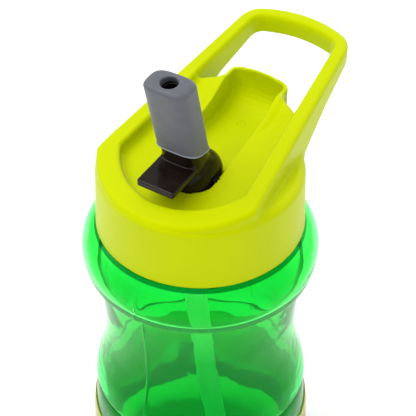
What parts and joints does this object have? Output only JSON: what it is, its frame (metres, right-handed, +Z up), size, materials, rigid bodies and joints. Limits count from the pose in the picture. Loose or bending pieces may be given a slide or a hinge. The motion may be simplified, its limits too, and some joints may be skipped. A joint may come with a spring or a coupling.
{
  "type": "water bottle",
  "caption": "Waisted see-through drinking bottle with a screw lid, a carry loop and a straw spout that folds back into a trough.",
  "frame": {"origin": "on the bottle's axis, on the flat centre pad of the base, at the level of the surface the bottle stands on", "axes": "+Z up along the bottle's axis; the spout's thumb tab faces -Y and the carry loop reaches out to +Y; +X along the spout's pivot"},
  "size_m": [0.0812, 0.1096, 0.1972],
  "materials": {
    "green_clear": "clear tinted copolyester, polished",
    "printed_film": "glossy printed film",
    "lime_plastic": "satin moulded polypropylene",
    "white_silicone": "satin",
    "milky_plastic": "milky translucent polyethylene",
    "clear_silicone": "translucent",
    "black_plastic": "polished moulded plastic",
    "grey_silicone": "satin silicone"
  },
  "bodies": {
    "bottle": {"bottle_shell": "green_clear", "graphic_sleeve": "printed_film"},
    "gasket": {"lid_gasket": "white_silicone"},
    "lid": {"lid_shell": "lime_plastic", "spout_seal": "white_silicone", "seal_retainer": "milky_plastic", "vent_valve": "clear_silicone", "straw": "milky_plastic"},
    "spout": {"spout": "black_plastic", "mouthpiece": "grey_silicone"}
  },
  "joints": [
    {"name": "lid_lift", "type": "slide", "parent": "bottle", "child": "gasket", "axis": [0, 0, 1], "range_m": [0, 0.16]},
    {"name": "lid_turn", "type": "hinge", "parent": "gasket", "child": "lid", "pos_m": [0, 0, 0.132], "axis": [0, 0, 1], "range_deg": [0, 450]},
    {"name": "spout_flip", "type": "hinge", "parent": "lid", "child": "spout", "pos_m": [0, -0.0058, 0.1548], "axis": [-1, 0, 0], "range_deg": [0, 90]}
  ]
}
